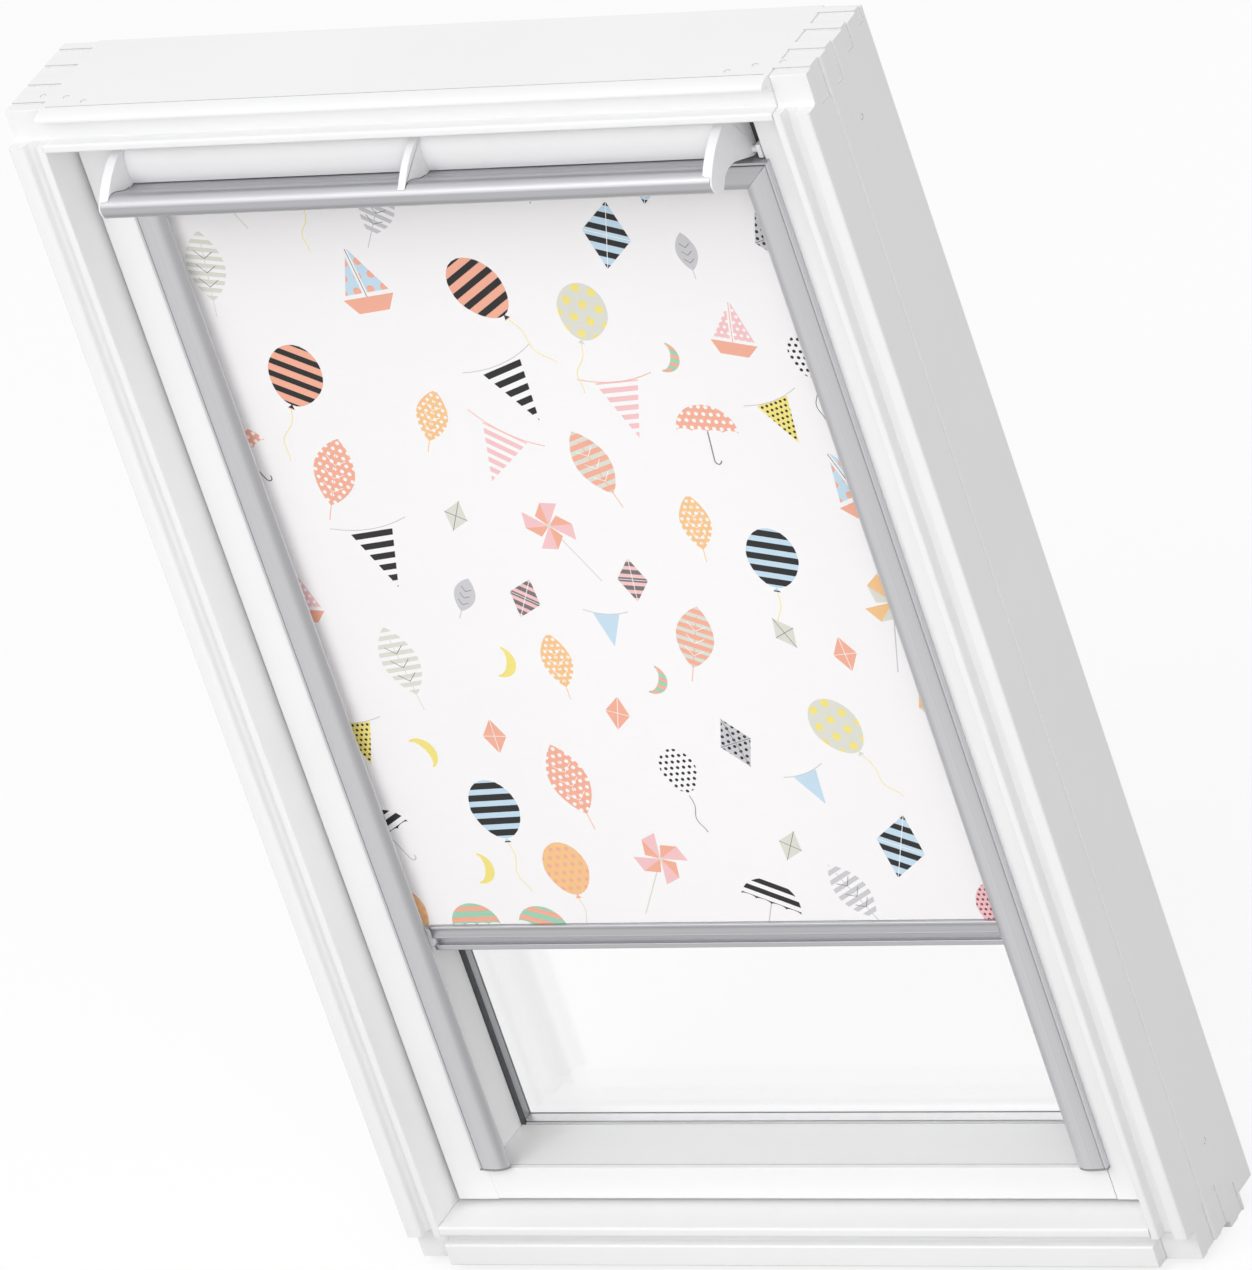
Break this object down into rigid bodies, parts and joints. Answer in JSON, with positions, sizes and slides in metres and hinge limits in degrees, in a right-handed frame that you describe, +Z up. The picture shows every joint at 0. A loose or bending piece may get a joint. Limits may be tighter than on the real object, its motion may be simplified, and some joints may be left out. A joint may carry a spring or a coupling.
{
  "type": "roof window with roller blind",
  "caption": "Centre-pivot roof window with white timber frame and sash, ventilation flap worked by a metal control bar, and a patterned roller blind running in side channels",
  "frame": {"origin": "centre of the bounding box's bottom, with the window standing upright on its sill", "axes": "+X is the window's width, to the right seen from the room; +Y points to the weather side and -Y to the room; +Z is up the window"},
  "size_m": [0.78, 0.1574, 1.185],
  "materials": {
    "painted_pine": "white satin paint on laminated pine",
    "moulded_abs": "white moulded plastic",
    "anodised_aluminium": "natural anodised, satin",
    "lacquered_aluminium": "dark grey lacquer",
    "zinc_plated_steel": "zinc plated",
    "float_glass": "clear",
    "epdm_rubber": "matt black",
    "spacer_steel": "thin rolled sheet",
    "filter_foam": "open foam",
    "coated_polyester": "off-white printed cloth",
    "grey_polyamide": "grey moulded plastic"
  },
  "bodies": {
    "frame": {"frame_head": "painted_pine", "frame_sill": "painted_pine", "frame_jamb_left": "painted_pine", "frame_jamb_right": "painted_pine", "frame_hinge_left": "zinc_plated_steel", "frame_hinge_right": "zinc_plated_steel", "striker_plate": "zinc_plated_steel", "jamb_seal_left": "epdm_rubber", "jamb_seal_right": "epdm_rubber"},
    "sash": {"sash_stile_left": "painted_pine", "sash_stile_right": "painted_pine", "sash_top_rail": "painted_pine", "sash_bottom_rail": "painted_pine", "sash_hinge_left": "zinc_plated_steel", "sash_hinge_right": "zinc_plated_steel", "inner_pane": "float_glass", "outer_pane": "float_glass", "glass_spacer_left": "spacer_steel", "glass_spacer_right": "spacer_steel", "glass_spacer_top": "spacer_steel", "glass_spacer_bottom": "spacer_steel", "glass_gasket_left": "epdm_rubber", "glass_gasket_right": "epdm_rubber", "glass_gasket_top": "epdm_rubber", "glass_gasket_bottom": "epdm_rubber", "glazing_cover_left": "lacquered_aluminium", "glazing_cover_right": "lacquered_aluminium", "glazing_cover_top": "lacquered_aluminium", "glazing_cover_bottom": "lacquered_aluminium", "air_filter_left": "filter_foam", "air_filter_right": "filter_foam", "latch_case": "zinc_plated_steel", "flap_seal": "epdm_rubber", "flap_pivot_left": "moulded_abs", "flap_pivot_right": "moulded_abs", "side_channel_left": "anodised_aluminium", "side_channel_right": "anodised_aluminium", "channel_cap_left": "grey_polyamide", "channel_cap_right": "grey_polyamide", "blind_casing": "anodised_aluminium", "roller_bracket_left": "moulded_abs", "roller_bracket_right": "moulded_abs", "spring_spindle": "zinc_plated_steel", "tension_spring": "zinc_plated_steel", "blind_fabric": "coated_polyester"},
    "flap": {"vent_flap": "painted_pine", "control_bar": "anodised_aluminium", "bar_bracket_left": "moulded_abs", "bar_bracket_middle": "moulded_abs", "bar_bracket_right": "moulded_abs"},
    "roller": {"roller_tube": "anodised_aluminium", "fabric_roll": "coated_polyester", "roller_plug_left": "moulded_abs", "roller_plug_right": "moulded_abs"},
    "blind_bar": {"bottom_bar": "anodised_aluminium", "bar_guide_left": "moulded_abs", "bar_guide_right": "moulded_abs"},
    "latch": {"latch_tongue": "zinc_plated_steel"}
  },
  "joints": [
    {"name": "sash_pivot", "type": "hinge", "parent": "frame", "child": "sash", "pos_m": [0, 0.02225, 0.598], "axis": [1, 0, 0], "range_deg": [0, 160]},
    {"name": "flap_hinge", "type": "hinge", "parent": "sash", "child": "flap", "pos_m": [0, -0.00326, 1.0993], "axis": [1, 0, 0], "range_deg": [0, 20]},
    {"name": "blind_travel", "type": "slide", "parent": "sash", "child": "blind_bar", "axis": [0, 0, 1], "range_m": [-0.22, 0.727], "deforming": ["blind_fabric"]},
    {"name": "roller_turn", "type": "hinge", "parent": "sash", "child": "roller", "pos_m": [0, 0.00855, 1.0775], "axis": [1, 0, 0], "continuous": true},
    {"name": "latch_slide", "type": "slide", "parent": "sash", "child": "latch", "axis": [0, 0, 1], "range_m": [0, 0.01]}
  ],
  "couplings": [
    {"joint": "roller_turn", "follows": "blind_travel", "rad_per_m": -107.53}
  ]
}
